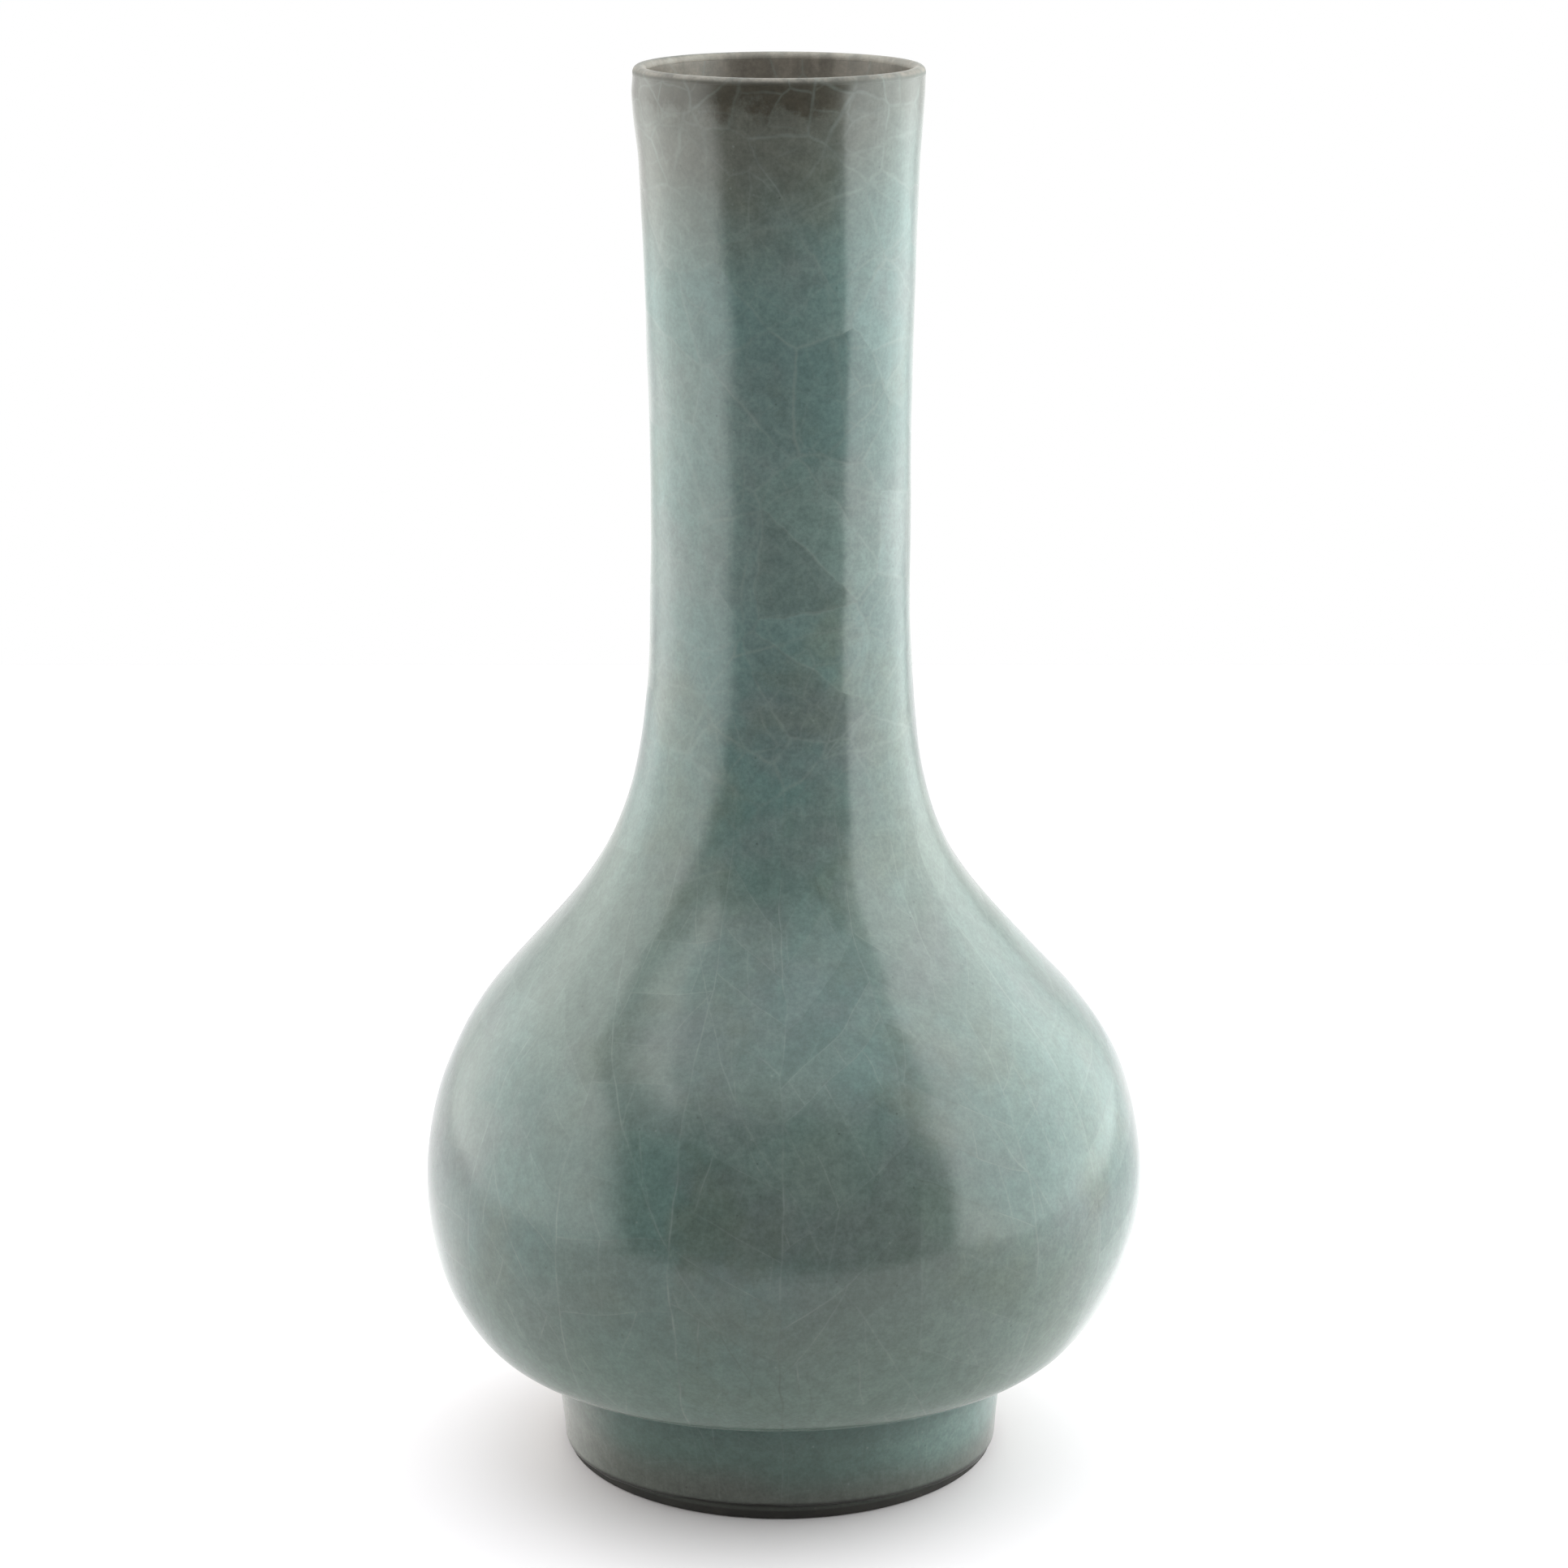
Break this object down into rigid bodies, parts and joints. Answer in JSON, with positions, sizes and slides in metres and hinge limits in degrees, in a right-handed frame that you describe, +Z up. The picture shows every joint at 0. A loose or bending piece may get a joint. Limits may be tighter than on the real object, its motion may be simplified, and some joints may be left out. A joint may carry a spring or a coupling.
{
  "type": "bottle vase",
  "caption": "Stoneware bottle vase with a round belly on a turned foot ring, a tall flared neck and a crackled celadon glaze; it stands upright and holds flower stems.",
  "frame": {"origin": "centre of the foot ring's rest face, on the vase's axis", "axes": "+Z up the axis of the vase towards the mouth; X and Y across it, alike all round"},
  "size_m": [0.1236, 0.1236, 0.24],
  "materials": {
    "stoneware": "dark iron-rich stoneware, bare and dry to the touch",
    "luting_slip": "fired joining slip, matt",
    "celadon_glaze": "grey-green celadon glaze, satin gloss, with a pale crackle",
    "lining_glaze": "grey-brown celadon glaze, thin, satin gloss",
    "recess_glaze": "grey-green celadon glaze, thin, satin gloss"
  },
  "bodies": {
    "root": {"foot_ring": "stoneware", "lower_body": "stoneware", "upper_body": "stoneware", "neck": "stoneware", "foot_luting_slip": "luting_slip", "belly_luting_slip": "luting_slip", "neck_luting_slip": "luting_slip", "outer_glaze": "celadon_glaze", "inner_glaze": "lining_glaze", "base_glaze": "recess_glaze"}
  },
  "joints": []
}
